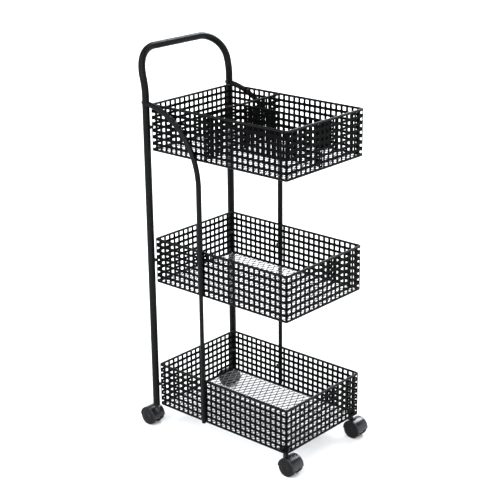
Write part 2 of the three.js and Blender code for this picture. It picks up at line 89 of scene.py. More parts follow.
TUBE_SIDES = 48
WIRE_SIDES = 20
SCREW_SIDES = 24
WHEEL_SIDES = 72
BEND_STEPS = 24
BRACE_STEPS = 36
WIRE_BEND_STEPS = 8


# ---- Sizes and finishes that a user may change -----------------------------------------


def length(name, description, millimetres):
    """A length property, given in millimetres."""
    return FloatProperty(
        name=name, description=description, default=millimetres / 1000, min=0.0,
        unit="LENGTH", precision=4)


def colour(name, description, rgb):
    return FloatVectorProperty(
        name=name, description=description, default=rgb, min=0.0, max=1.0, size=3,
        subtype="COLOR")


class CartSizes(bpy.types.PropertyGroup):
    """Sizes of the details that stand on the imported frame."""

    tube_diameter: length("Tube diameter", "Outside diameter of the frame tube", 16)
    tube_wall: length("Tube wall", "Wall thickness of the frame tube", 1.2)
    handle_corner: length("Handle corner", "Radius of the handle's two corners", 64)
    handle_sweep: length("Handle sweep", "Radius that the handle is swept back on", 165)
    brace_arc: length("Brace arc", "Radius of the upper braces' bend", 165)
    basket_corner: length("Basket corner", "Outside radius of the baskets' corners", 6)
    columns_long: IntProperty(
        name="Columns, long side", description="Mesh columns along a long side", default=26)
    columns_short: IntProperty(
        name="Columns, short side", description="Mesh columns along a short side", default=17)
    mesh_rows: IntProperty(
        name="Mesh rows", description="Mesh rows between the rim wires", default=7)
    mesh_bar: length("Mesh bar", "Width of the bars between the square holes", 5.8)
    hole_round: length("Hole corner", "Radius of the square holes' corners", 0.9)
    sheet_inset: length("Sheet inset", "How far the mesh stands in from the rim's outside", 0.4)
    sheet_edge: length("Sheet edge", "Rounding of the mesh sheet's cut edges", 0.22)
    floor_across: length("Floor diamond length", "Long diagonal of a floor diamond", 27.7)
    floor_along: length("Floor diamond width", "Short diagonal of a floor diamond", 15)
    strand_width: length("Strand width", "Width of a strand of the floor", 1.35)
    strand_thickness: length("Strand thickness", "Thickness of a strand of the floor", 0.7)
    strand_tilt: FloatProperty(
        name="Strand tilt", description="How far the floor's strands are twisted",
        default=radians(8), subtype="ANGLE")
    stud_diameter: length("Stud diameter", "Studs welded between posts and baskets", 7)
    screw_head: length("Screw head", "Diameter of the basket screws' heads", 9)
    corner_head: length("Corner screw head", "Diameter of the corner screws' heads", 6.4)
    bolt_head: length("Bolt head", "Diameter of the brace bolts' heads", 9.5)


class CartFinishes(bpy.types.PropertyGroup):
    """Colours of the cart's finishes."""

    tube_coat: colour("Tube coat", "Powder coat of the tubes", (0.006, 0.0062, 0.0068))
    wire_coat: colour("Wire coat", "Powder coat of the rim wires", (0.005, 0.0052, 0.0057))
    mesh_coat: colour("Mesh coat", "Powder coat of the mesh", (0.003, 0.0031, 0.0035))
    # The floors' colour is the black powder coat made lighter than the other coats: a painted
    # reflection of the bright sky on the strands' up-facing faces.
    floor_coat_and_painted_reflection: colour("Floor coat", "Powder coat of the floors", (0.045, 0.047, 0.051))
    nylon: colour("Hood nylon", "Moulded nylon of the caster hoods", (0.011, 0.012, 0.0145))
    wheel: colour("Wheel", "Moulded plastic of the wheels", (0.010, 0.0101, 0.011))
    screw: colour("Screw", "Blackened steel of the screws", (0.03, 0.03, 0.034))
    zinc: colour("Zinc", "Zinc-plated steel inside the casters", (0.52, 0.53, 0.54))


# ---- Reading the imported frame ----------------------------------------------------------


def middle(node):
    lo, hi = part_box(node)
    return (lo + hi) / 2


def extent(node):
    lo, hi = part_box(node)
    return hi - lo


def post_axis(side):
    """The middle of a rear post, from the socket in its foot."""
    centre = middle(f"rear_{side}_caster_socket")
    return Vector((centre.x, centre.y, 0))


def side_sign(side):
    return -1 if side == "right" else 1


def screw_height(tier):
    return middle(f"{tier}_basket_wall").z


def corner_centre(tier, side, sizes):
    """The centre of the arc of a basket's rear corner, at the screws' height."""
    lo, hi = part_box(f"{tier}_basket_top_rim")
    y = side_sign(side) * (hi.y - sizes.basket_corner)
    return Vector((lo.x + sizes.basket_corner, y, screw_height(tier)))


def corner_line(tier, side, sizes):
    """From the corner's arc centre to the post: (start, direction, distance)."""
    start = corner_centre(tier, side, sizes)
    post = post_axis(side)
    post.z = start.z
    return start, (post - start).normalized(), (post - start).length


def brace_arc_line(side, sizes):
    """Where the upper brace leaves the post: (point, heading, angle, arc centre)."""
    lo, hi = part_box(f"{side}_brace_upper")
    lower = middle(f"{side}_brace_lower")
    radius = sizes.brace_arc
    half = (hi.y - lo.y) / 2
    angle = asin((lo.x - lower.x + radius) / (radius - half))
    centre = Vector((lower.x - radius, lower.y, hi.z - (radius + half) * cos(angle)))
    point = centre + radius * Vector((sin(angle), 0, cos(angle)))
    return point, Vector((cos(angle), 0, -sin(angle))), angle, centre


# ---- Bmesh tools -----------------------------------------------------------------------


def only(kind, geometry):
    return [item for item in geometry if isinstance(item, kind)]


def verts_of(items):
    return list({vert for item in items for vert in item.verts})


def newer(items, known):
    return [item for item in items if item not in known]


def edges_at(verts):
    return list({edge for vert in verts for edge in vert.link_edges})


def ring(bm, centre, heading, radius, sides):
    """A ring of edges round a point, facing along the heading."""
    turn = Z.rotation_difference(heading).to_matrix().to_4x4()
    made = bmesh.ops.create_circle(
        bm, segments=sides, radius=radius, matrix=Matrix.Translation(centre) @ turn)
    return edges_at(made["verts"])


def spin(bm, edges, centre, axis, angle, steps, full=False):
    made = bmesh.ops.spin(
        bm, geom=verts_of(edges) + list(edges), cent=centre, axis=axis, dvec=(0, 0, 0),
        angle=angle, steps=steps, use_merge=full, use_normal_flip=False, use_duplicate=False)
    return only(bmesh.types.BMEdge, made["geom_last"])


class TubeRun:
    """A tube drawn by a ring that is pushed and turned along the tube's line."""

    def __init__(self, bm, start, heading, radius=0.0, sides=TUBE_SIDES, edges=None):
        """Starts from a new ring, or from the edges of an open end."""
        self.bm = bm
        self.at = Vector(start)
        self.heading = Vector(heading).normalized()
        self.edges = edges or ring(bm, self.at, self.heading, radius, sides)
        self.first = list(self.edges)

    def go(self, distance, steps=1, scale=1.0):
        for _ in range(steps):
            made = bmesh.ops.extrude_edge_only(self.bm, edges=self.edges)["geom"]
            verts = only(bmesh.types.BMVert, made)
            self.edges = [e for e in only(bmesh.types.BMEdge, made) if e.is_boundary]
            bmesh.ops.translate(self.bm, verts=verts, vec=self.heading * (distance / steps))
            self.at = self.at + self.heading * (distance / steps)
            if scale != 1.0:
                bmesh.ops.scale(
                    self.bm, verts=verts, vec=(scale,) * 3,
                    space=Matrix.Translation(-self.at))
        return self

    def turn(self, towards, radius, angle, steps):
        towards = Vector(towards).normalized()
        centre = self.at + towards * radius
        axis = self.heading.cross(towards)
        self.edges = spin(self.bm, self.edges, centre, axis, angle, steps)
        turned = Matrix.Rotation(angle, 3, axis)
        self.at = centre + turned @ (self.at - centre)
        self.heading = turned @ self.heading
        return self

    def close(self):
        bmesh.ops.edgeloop_fill(self.bm, edges=self.edges)
        return self

    def close_start(self):
        bmesh.ops.edgeloop_fill(self.bm, edges=self.first)
        return self


def rod(bm, start, heading, distance, radius, sides, edge=0.0):
    """A closed rod; edge chamfers both ends."""
    run = TubeRun(bm, start, heading, radius - edge, sides).close_start()
    if edge:
        run.go(edge, scale=radius / (radius - edge))
    run.go(distance - 2 * edge)
    if edge:
        run.go(edge, scale=(radius - edge) / radius)
    run.close()


def turned(bm, profile, sides, place=Matrix.Identity(4)):
    """A solid turned round Z from (radius, height) points, put in its place."""
    known = set(bm.verts)
    verts = [bm.verts.new((radius, 0, height)) for radius, height in profile]
    edges = [bm.edges.new(pair) for pair in zip(verts, verts[1:])]
    spin(bm, edges, (0, 0, 0), Z, 2 * pi, sides, full=True)
    bmesh.ops.remove_doubles(bm, verts=newer(bm.verts, known), dist=MERGE)
    fresh = newer(bm.verts, known)
    bmesh.ops.transform(bm, matrix=place, verts=fresh)
    return fresh


def facing(direction, at):
    """A place whose Z runs along a direction."""
    return Matrix.Translation(at) @ Z.rotation_difference(direction).to_matrix().to_4x4()


def rounded_rim(radius, face, rounding, steps):
    """The quarter round of a profile between its face and its rim."""
    angles = [pi / 2 * i / steps for i in range(steps + 1)]
    return [(radius - rounding + rounding * sin(a), face - rounding + rounding * cos(a))
            for a in angles]


def drum(radius, half, edge):
    """The profile of a solid disc or pin with chamfered rims, about its middle."""
    return [(0, -half), (radius - edge, -half), (radius, -half + edge),
            (radius, half - edge), (radius - edge, half), (0, half)]


def block(bm, lo, hi, corner=0.0, edge=0.0, upright=Z):
    """A box; its edges along `upright` are rounded by corner and the rest by edge."""
    known = set(bm.verts)
    size = Vector(hi) - Vector(lo)
    place = Matrix.Translation((Vector(lo) + Vector(hi)) / 2) @ Matrix.Diagonal((*size, 1))
    bmesh.ops.create_cube(bm, size=1.0, matrix=place)
    if corner:
        along = [e for e in edges_at(newer(bm.verts, known))
                 if abs((e.verts[0].co - e.verts[1].co).normalized().dot(upright)) > 0.99]
        bevel(bm, along, corner, 4)
    if edge:
        bevel(bm, sharp_edges(edges_at(newer(bm.verts, known)), 60), edge, 2)


def bevel(bm, edges, offset, segments):
    bmesh.ops.bevel(
        bm, geom=list(edges), offset=offset, offset_type="OFFSET", segments=segments,
        profile=0.5, affect="EDGES", clamp_overlap=True, material=-1)


def sharp_edges(edges, degrees):
    return [e for e in edges if len(e.link_faces) == 2
            and e.calc_face_angle(0.0) > radians(degrees)]


def slice_at(bm, point, outward, snap, **options):
    bmesh.ops.bisect_plane(
        bm, geom=[*bm.verts, *bm.edges, *bm.faces], dist=snap, plane_co=point,
        plane_no=outward, **options)


def trim(bm, point, outward):
    """Cuts away what lies past a plane and closes the cut."""
    slice_at(bm, point, outward, 1e-7, clear_outer=True)
    bmesh.ops.holes_fill(bm, edges=[e for e in bm.edges if e.is_boundary], sides=0)


def make_piece(bm, name, body, materials, nodes, sharp=35):
    """Turns a bmesh into a finished piece that rides on a body and stands for CAD nodes."""
    bmesh.ops.remove_doubles(bm, verts=bm.verts, dist=MERGE)
    bmesh.ops.recalc_face_normals(bm, faces=bm.faces)
    for face in bm.faces:
        face.smooth = True
    for edge in bm.edges:
        edge.smooth = edge.calc_face_angle(0.0) < radians(sharp)
    mesh = bpy.data.meshes.new(name)
    bm.to_mesh(mesh)
    bm.free()
    piece = bpy.data.objects.new(name, mesh)
    bpy.context.scene.collection.objects.link(piece)
    for material in materials:
        mesh.materials.append(bpy.data.materials[material])
    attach(piece, body)
    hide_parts(*nodes)
    return piece


# ---- Materials -------------------------------------------------------------------------


class Finish:
    """A node material that is built up from noise on the piece's own coordinates."""

    def __init__(self, name, roughness, gloss=0.5, metallic=0.0):
        self.material = bpy.data.materials.new(name)
        self.material.use_nodes = True
        self.nodes = self.material.node_tree.nodes
        self.links = self.material.node_tree.links
        self.shader = self.nodes["Principled BSDF"]
        self.drive("Roughness", roughness)
        self.drive("Specular IOR Level", gloss)
        self.drive("Metallic", metallic)
        self.place = self.node("ShaderNodeTexCoord").outputs["Object"]

    def feed(self, socket, value):
        """Links an output to a socket, or sets the socket's own value."""
        if isinstance(value, bpy.types.NodeSocket):
            self.links.new(value, socket)
        elif socket.type == "RGBA":
            socket.default_value = (*value, 1.0)
        else:
            socket.default_value = value

    def node(self, kind, inputs=None, **settings):
        node = self.nodes.new(kind)
        for name, setting in settings.items():
            setattr(node, name, setting)
        for socket, value in (inputs or {}).items():
            self.feed(node.inputs[socket], value)
        return node

    def drive(self, socket, value):
        self.feed(self.shader.inputs[socket], value)

    def noise(self, scale, detail=2.0, stretch=None):
        """Noise whose scale is features per metre."""
        place = self.place
        if stretch:
            squeeze = self.node("ShaderNodeMapping", {"Scale": stretch, "Vector": place})
            place = squeeze.outputs["Vector"]
        inputs = {"Scale": scale, "Detail": detail, "Vector": place}
        return self.node("ShaderNodeTexNoise", inputs).outputs["Fac"]

    def remap(self, value, low, high, to_low, to_high):
        inputs = {"Value": value, "From Min": low, "From Max": high,
                  "To Min": to_low, "To Max": to_high}
        return self.node("ShaderNodeMapRange", inputs).outputs["Result"]

    def mix(self, amount, first, second):
        """Mixes two colours or colour outputs; sockets 6 and 7 are the colour ones."""
        inputs = {"Factor": amount, 6: first, 7: second}
        return self.node("ShaderNodeMix", inputs, data_type="RGBA").outputs[2]

    def bump(self, height, strength, distance, under=None):
        inputs = {"Strength": strength, "Distance": distance, "Height": height}
        if under:
            inputs["Normal"] = under
        return self.node("ShaderNodeBump", inputs).outputs["Normal"]

    def worn_edges(self, radius, threshold):
        """Where a convex edge's rounded normal leaves the surface's own, broken by noise."""
        rounded = self.node("ShaderNodeBevel", {"Radius": radius}, samples=4)
        surface = self.node("ShaderNodeNewGeometry")
        normals = {0: rounded.outputs["Normal"], 1: surface.outputs["Normal"]}
        same = self.node("ShaderNodeVectorMath", normals, operation="DOT_PRODUCT")
        edge = self.remap(same.outputs["Value"], 0.99, 0.75, 0.0, 1.0)
        broken = self.remap(self.noise(260, 4), threshold, threshold + 0.12, 0.0, 1.0)
        both = self.node("ShaderNodeMath", {0: edge, 1: broken}, operation="MULTIPLY")
        return both.outputs["Value"]


HOUSE_DUST = (0.05, 0.05, 0.049)
FLOOR_DUST = (0.1, 0.098, 0.094)
BARE_METAL = (0.16, 0.158, 0.155)


def scaled(rgb, factor):
    return tuple(channel * factor for channel in rgb)


def powder_coat(name, rgb, roughness, gloss, chips=0.0):
    """Semi-gloss powder coat: orange peel, fine grain, faint blotches and specks of dust."""
    finish = Finish(name, roughness, gloss)
    blotches = finish.noise(scale=22, detail=3)
    base = finish.mix(blotches, scaled(rgb, 0.8), scaled(rgb, 1.25))
    dust = finish.remap(finish.noise(scale=520, detail=3), 0.66, 0.76, 0.0, 0.2)
    base = finish.mix(dust, base, HOUSE_DUST)
    if chips:
        base = finish.mix(finish.worn_edges(0.0008, 1.0 - chips), base, BARE_METAL)
    finish.drive("Base Color", base)
    finish.drive("Roughness", finish.remap(
        finish.noise(scale=70, detail=4), 0.3, 0.7, roughness - 0.07, roughness + 0.09))
    peel = finish.bump(finish.noise(scale=380, detail=1), strength=0.35, distance=0.00012)
    grain = finish.noise(scale=2600, detail=2)
    finish.drive("Normal", finish.bump(grain, strength=0.25, distance=0.00005, under=peel))


def moulded_plastic(name, rgb, roughness, gloss, chips):
    """Moulded plastic: a fine spark-eroded grain, soft flow marks and scuffed edges."""
    finish = Finish(name, roughness, gloss)
    flow = finish.noise(scale=35, detail=2, stretch=(1, 1, 2.5))
    base = finish.mix(flow, scaled(rgb, 0.9), scaled(rgb, 1.12))
    worn = finish.worn_edges(0.0007, 1.0 - chips)
    finish.drive("Base Color", finish.mix(worn, base, scaled(rgb, 2.0)))
    scuffs = finish.noise(scale=150, detail=3, stretch=(1, 4, 1))
    finish.drive("Roughness", finish.remap(
        scuffs, 0.35, 0.7, roughness - 0.03, roughness + 0.06))
    grain = finish.bump(finish.noise(scale=1900, detail=2), strength=0.1, distance=0.00002)
    finish.drive("Normal", finish.bump(flow, strength=0.08, distance=0.0002, under=grain))


def tread_plastic(name, rgb):
    """The wheel's running band: matter, rubbed and dusty from the floor."""
    finish = Finish(name, 0.5, 0.25)
    rub = finish.noise(scale=90, detail=4, stretch=(1, 0.2, 1))
    base = finish.mix(rub, scaled(rgb, 0.8), scaled(rgb, 1.15))
    dust = finish.remap(finish.noise(scale=310, detail=4), 0.62, 0.75, 0.0, 0.15)
    finish.drive("Base Color", finish.mix(dust, base, FLOOR_DUST))
    finish.drive("Roughness", finish.remap(rub, 0.3, 0.7, 0.42, 0.6))
    grain = finish.noise(scale=1400, detail=3)
    finish.drive("Normal", finish.bump(grain, strength=0.15, distance=0.00005))


def plated_steel(name, rgb, roughness, metallic):
    """Plated or blackened steel with turning marks and a little tarnish."""
    finish = Finish(name, roughness, metallic=metallic)
    tarnish = finish.noise(scale=240, detail=4)
    finish.drive("Base Color", finish.mix(tarnish, scaled(rgb, 0.75), scaled(rgb, 1.15)))
    finish.drive("Roughness", finish.remap(tarnish, 0.3, 0.7, roughness - 0.08, roughness + 0.1))
    marks = finish.noise(scale=900, detail=3, stretch=(1, 1, 8))
    finish.drive("Normal", finish.bump(marks, strength=0.25, distance=0.00004))


class CART_OT_finishes(bpy.types.Operator):
    """Make the cart's materials"""

    bl_idname = "cart.finishes"
    bl_label = "Make Finishes"

    def execute(self, context):
        colours = context.scene.cart_finishes
        powder_coat("tube_coat", colours.tube_coat, 0.3, 0.15)
        powder_coat("wire_coat", colours.wire_coat, 0.3, 0.18)
        powder_coat("mesh_coat", colours.mesh_coat, 0.45, 0.06)
        # The floor coat's lighter base colour is a painted reflection of the sky on the strands, on
        # top of their real gloss.
        powder_coat("floor_coat_and_painted_reflection", colours.floor_coat_and_painted_reflection, 0.32, 0.5)
        powder_coat("plate_coat", colours.mesh_coat, 0.38, 0.15, chips=0.42)
        moulded_plastic("hood_nylon", colours.nylon, 0.27, 0.6, 0.36)
        moulded_plastic("wheel_cover", colours.wheel, 0.42, 0.16, 0.36)
        tread_plastic("wheel_tread", colours.wheel)
        plated_steel("black_screw", colours.screw, 0.38, 0.6)
        plated_steel("zinc_steel", colours.zinc, 0.32, 1.0)
        return {"FINISHED"}


# ---- Frame tube and braces -------------------------------------------------------------


def hollow_end(bm, edges, at, inward, outer, wall):
    """The open end of a tube: a lip, and its bore up to a plug."""
    run = TubeRun(bm, at, inward, edges=edges)
    run.go(0, scale=(outer - wall) / outer).go(PLUG_DEPTH).close()


def sweep_back(bm, start_z, post_x, radius):
    """Bends everything above a height back on an arc."""
    for vert in bm.verts:
        if vert.co.z > start_z:
            angle = (vert.co.z - start_z) / radius
            ahead = vert.co.x - post_x
            vert.co.x = post_x - radius * (1 - cos(angle)) + ahead * cos(angle)
            vert.co.z = start_z + radius * sin(angle) + ahead * sin(angle)


def weld_bead(bm, at, direction, ring_radius, bead_radius, tube_radius):
    """A bead of weld round a stud, draped over the tube that the stud stands on."""
    known = set(bm.verts)
    edges = ring(bm, Vector((ring_radius, 0, 0)), Y, bead_radius, 10)
    spin(bm, edges, (0, 0, 0), Z, 2 * pi, 32, full=True)
    fresh = newer(bm.verts, known)
    bmesh.ops.transform(bm, matrix=facing(direction, at), verts=fresh)
    across = direction.cross(Z)
    for vert in fresh:
        aside = (vert.co - at).dot(across)
        vert.co -= direction * (tube_radius - sqrt(max(0, tube_radius ** 2 - aside ** 2)))


class CART_OT_frame_tube(bpy.types.Operator):
    """Bend the frame tube and weld on the studs that carry the baskets"""

    bl_idname = "cart.frame_tube"
    bl_label = "Frame Tube"

    def execute(self, context):
        sizes = context.scene.cart_sizes
        lo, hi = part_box("frame_tube")
        radius = sizes.tube_diameter / 2
        corner = sizes.handle_corner
        post = post_axis("left")
        bar_back = post.x - (lo.x + radius)
        sweep = acos(1 - bar_back / sizes.handle_sweep)
        start_z = hi.z - radius - sizes.handle_sweep * sin(sweep)
        top = start_z + sizes.handle_sweep * sweep
        bm = bmesh.new()
        run = TubeRun(bm, (post.x, post.y, lo.z), Z, radius)
        run.go(start_z - lo.z).go(top - corner - start_z, steps=6)
        run.turn(-Y, corner, pi / 2, BEND_STEPS)
        run.go(2 * (post.y - corner), steps=4)
        run.turn(-Z, corner, pi / 2, BEND_STEPS)
        run.go(top - corner - start_z, steps=6).go(start_z - lo.z)
        for edges, y in ((run.first, post.y), (run.edges, -post.y)):
            hollow_end(bm, edges, (post.x, y, lo.z), Z, radius, sizes.tube_wall)
        sweep_back(bm, start_z, post.x, sizes.handle_sweep)
        for tier in TIERS:
            for side in SIDES:
                self.add_stud(bm, tier, side, sizes)
        make_piece(bm, "bent_frame_tube", "frame", ["tube_coat"],
                   ["frame_tube"])
        return {"FINISHED"}

    @staticmethod
    def add_stud(bm, tier, side, sizes):
        start, direction, reach = corner_line(tier, side, sizes)
        radius = sizes.tube_diameter / 2
        post = start + direction * reach
        stud_end = start + direction * (sizes.basket_corner - sizes.sheet_inset)
        from_post = post - direction * (radius - sizes.tube_wall)
        rod(bm, from_post, -direction, (from_post - stud_end).length,
            sizes.stud_diameter / 2, SCREW_SIDES)
        bead = 0.0011
        weld_bead(bm, post - direction * radius, -direction, sizes.stud_diameter / 2, bead,
                  radius)


class CART_OT_braces(bpy.types.Operator):
    """Bend the upper braces and plug the lower ones into them"""

    bl_idname = "cart.braces"
    bl_label = "Braces"

    def execute(self, context):
        sizes = context.scene.cart_sizes
        for side in SIDES:
            self.upper(side, sizes)
            self.lower(side)
        return {"FINISHED"}

    @staticmethod
    def upper(side, sizes):
        point, heading, angle, centre = brace_arc_line(side, sizes)
        lo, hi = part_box(f"{side}_brace_upper")
        radius = (hi.y - lo.y) / 2
        lower_radius = extent(f"{side}_brace_lower").y / 2
        into_post = 0.004
        neck = 0.0025
        bm = bmesh.new()
        run = TubeRun(bm, point - heading * into_post, heading, radius).close_start()
        run.go(into_post)
        run.turn(centre - point, sizes.brace_arc, pi / 2 - angle, BRACE_STEPS)
        run.go(run.at.z - lo.z - neck, steps=2)
        run.go(neck, scale=(lower_radius + CHAMFER) / radius).go(0, scale=0.9).close()
        make_piece(bm, f"upper_brace_{side}", "frame", ["tube_coat"],
                   [f"{side}_brace_upper"])

    @staticmethod
    def lower(side):
        lo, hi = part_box(f"{side}_brace_lower")
        radius = (hi.y - lo.y) / 2
        centre = (lo + hi) / 2
        lip = radius - CHAMFER
        lip_wall = 0.0008
        bm = bmesh.new()
        run = TubeRun(bm, (centre.x, centre.y, hi.z), -Z, radius, 40).close_start()
        run.go(hi.z - lo.z - CHAMFER).go(CHAMFER, scale=lip / radius)
        hollow_end(bm, run.edges, run.at, Z, lip, lip_wall)
        make_piece(bm, f"lower_brace_{side}", "frame", ["tube_coat"],
                   [f"{side}_brace_lower"])


# ---- Screws ----------------------------------------------------------------------------

# The basket screws: their heads' height, their shanks' diameter, and a head's gap or sink.
HEAD_HEIGHT = 0.0024
SHANK = 0.004
SEAT = 0.0003


def pan_head_screw(bm, head_face, direction, head_diameter, head_height, shank_diameter, shank):
    """A pan-head screw with a cross recess; its face is at head_face and its shank runs on."""
    half = head_diameter / 2
    arm = half * 0.5
    arm_half = arm * 0.268
    depth = head_height * 0.55
    crown = [(arm, 0.0), (half * 0.66, head_height * 0.03)]
    edge = [(half * (0.66 + 0.34 * sin(a)), head_height * (0.03 + 0.57 * (1 - cos(a))))
            for a in (radians(25), radians(50), radians(72), radians(90))]
    thread = shank_diameter / 2
    profile = [(0.0, depth), (arm * 0.55, depth), *crown, *edge, (half, head_height * 0.92),
               (half * 0.95, head_height), (thread, head_height),
               (thread, head_height + shank - thread * 0.4),
               (thread * 0.6, head_height + shank), (0.0, head_height + shank)]
    fresh = turned(bm, profile, SCREW_SIDES)
    for vert in fresh:
        spread = sqrt(vert.co.x ** 2 + vert.co.y ** 2)
        if vert.co.z <= depth + MERGE and MERGE < spread <= arm + MERGE:
            angle = atan2(vert.co.y, vert.co.x)
            from_arm = abs((angle + pi / 4) % (pi / 2) - pi / 4)
            outline = min(arm / cos(from_arm), arm_half / max(sin(from_arm), 1e-6))
            vert.co.x *= outline / arm
            vert.co.y *= outline / arm
    bmesh.ops.transform(bm, matrix=facing(direction, head_face), verts=fresh)


class CART_OT_screws(bpy.types.Operator):
    """Turn the basket screws and the bolts of the braces"""

    bl_idname = "cart.screws"
    bl_label = "Screws and Bolts"

    def execute(self, context):
        sizes = context.scene.cart_sizes
        for side in SIDES:
            for tier in TIERS:
                self.corner_screw(tier, side, sizes)
                self.brace_screw(tier, side, sizes)
            self.brace_bolt(side, sizes)
        return {"FINISHED"}

    @staticmethod
    def corner_screw(tier, side, sizes):
        start, direction, reach = corner_line(tier, side, sizes)
        sheet_inside = sizes.basket_corner - sizes.sheet_inset - SHEET - 0.0001
        bm = bmesh.new()
        pan_head_screw(bm, start + direction * (sheet_inside - HEAD_HEIGHT), direction,
                       sizes.corner_head, HEAD_HEIGHT, SHANK, reach - sheet_inside - 0.004)
        make_piece(bm, f"corner_screw_{tier}_{side}", "frame", ["black_screw"],
                   [f"{tier}_{side}_corner_screw"])

    @staticmethod
    def brace_screw(tier, side, sizes):
        node = f"{tier}_{side}_brace_screw"
        centre = middle(node)
        outward = Vector((0, side_sign(side), 0))
        reach = extent(node).y
        inner_face = centre - outward * reach / 2
        bm = bmesh.new()
        pan_head_screw(bm, inner_face + outward * SEAT, outward, sizes.screw_head,
                       HEAD_HEIGHT, SHANK, reach - HEAD_HEIGHT - 2 * SEAT)
        make_piece(bm, f"brace_screw_{tier}_{side}", "frame", ["black_screw"],
                   [node])

    @staticmethod
    def brace_bolt(side, sizes):
        point, heading, _, _ = brace_arc_line(side, sizes)
        head = 0.0026
        shank = 0.005
        into_brace = 0.008
        post = post_axis(side)
        at = Vector((point.x, post.y, point.z))
        back = (at.x - post.x + sizes.tube_diameter / 2) / heading.x
        face = at - heading * (back + head - SEAT)
        bm = bmesh.new()
        pan_head_screw(bm, face, heading, sizes.bolt_head, head, shank, back + into_brace)
        make_piece(bm, f"brace_bolt_{side}", "frame", ["black_screw"],
                   [f"{side}_brace_bolt"])


# ---- Baskets ---------------------------------------------------------------------------


def mesh_sheet(bm, start, span, height, columns, sizes):
    """A flat sheet of square-hole mesh in XY, from x = start."""
    known = set(bm.faces)
    place = (Matrix.Translation((start + span / 2, height / 2, 0))
             @ Matrix.Diagonal((span, height, 1, 1)))
    bmesh.ops.create_grid(
        bm, x_segments=columns, y_segments=sizes.mesh_rows, size=0.5, matrix=place)
    cells = newer(bm.faces, known)
    bmesh.ops.inset_individual(
        bm, faces=cells, thickness=sizes.mesh_bar / 2, depth=0.0, use_even_offset=True)
    corners = verts_of(cells)
    bmesh.ops.delete(bm, geom=cells, context="FACES_ONLY")
    if sizes.hole_round:
        bmesh.ops.bevel(
            bm, geom=corners, offset=sizes.hole_round, offset_type="OFFSET", segments=2,
            profile=0.5, affect="VERTICES", clamp_overlap=True, material=-1)


def thicken(bm, thickness):
    """Gives a flat sheet its thickness along +Z."""
    made = bmesh.ops.extrude_face_region(bm, geom=list(bm.faces))["geom"]
    bmesh.ops.translate(bm, verts=only(bmesh.types.BMVert, made), vec=(0, 0, thickness))


def round_cut_edges(bm, offset):
    """Rounds every square edge of a flat sheet a little, as its coat does."""
    bevel(bm, sharp_edges(bm.edges, 60), offset, 1)


class BasketPath:
    """The line that a basket's wall follows, from the middle of its rear right corner."""

    def __init__(self, lo, hi, sizes):
        corner = sizes.basket_corner
        self.outside = corner - sizes.sheet_inset
        self.bend = self.outside - SHEET / 2
        self.straights = [hi.x - lo.x - 2 * corner, hi.y - lo.y - 2 * corner] * 2
        self.half_arc = pi / 4 * self.bend
        self.lengths = [straight + 2 * self.half_arc for straight in self.straights]
        self.starts = [sum(self.lengths[:i]) for i in range(4)]
        self.total = sum(self.lengths)
        low_x, high_x, low_y, high_y = lo.x + corner, hi.x - corner, lo.y + corner, hi.y - corner
        self.centres = [Vector((low_x, low_y, 0)), Vector((high_x, low_y, 0)),
                        Vector((high_x, high_y, 0)), Vector((low_x, high_y, 0))]

    def place(self, along, depth, z):
        """The point at a distance along the wall and a depth in from its outer face."""
        side = max(i for i in range(4) if along >= self.starts[i] - 1e-9)
        local = along - self.starts[side] - self.half_arc
        forward = (X, Y, -X, -Y)[side]
        outward = (-Y, X, Y, -X)[side]
        centre = self.centres[side]
        straight = self.straights[side]
        on_line = min(max(local, 0), straight)
        angle = (local - on_line) / self.bend
        out = Matrix.Rotation(angle, 3, "Z") @ outward
        spot = centre + forward * on_line + out * (self.outside - depth)
        return Vector((spot.x, spot.y, z))


class CART_OT_basket_walls(bpy.types.Operator):
    """Punch the square-hole mesh and bend it round each basket"""

    bl_idname = "cart.basket_walls"
    bl_label = "Basket Walls"

    def execute(self, context):
        sizes = context.scene.cart_sizes
        for tier in TIERS:
            self.wall(tier, sizes)
        return {"FINISHED"}

    @staticmethod
    def wall(tier, sizes):
        lo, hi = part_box(f"{tier}_basket_top_rim")
        bottom = middle(f"{tier}_basket_bottom_rim").z
        height = middle(f"{tier}_basket_top_rim").z - bottom
        path = BasketPath(lo, hi, sizes)
        bm = bmesh.new()
        for i, columns in enumerate((sizes.columns_long, sizes.columns_short) * 2):
            mesh_sheet(bm, path.starts[i], path.lengths[i], height, columns, sizes)
        bmesh.ops.remove_doubles(bm, verts=bm.verts, dist=MERGE)
        thicken(bm, SHEET)
        # The strip's two ends meet at a corner, so their faces go and the seam is merged.
        ends = [f for f in bm.faces if abs(f.normal.x) > 0.9
                and not MERGE <= f.calc_center_median().x <= path.total - MERGE]
        bmesh.ops.delete(bm, geom=ends, context="FACES")
        round_cut_edges(bm, sizes.sheet_edge)
        arc = path.half_arc
        for corner in [*path.starts, path.total]:
            for share in (0.25, 0.5, 0.82, 1.0):
                for cut in (corner - arc * share, corner + arc * share):
                    if 0 < cut < path.total:
                        slice_at(bm, (cut, 0, 0), X, 1e-6)
        for vert in bm.verts:
            vert.co = path.place(vert.co.x, vert.co.z, bottom + vert.co.y)
        make_piece(bm, f"mesh_wall_{tier}", "frame", ["mesh_coat"],
                   [f"{tier}_basket_wall"], sharp=50)


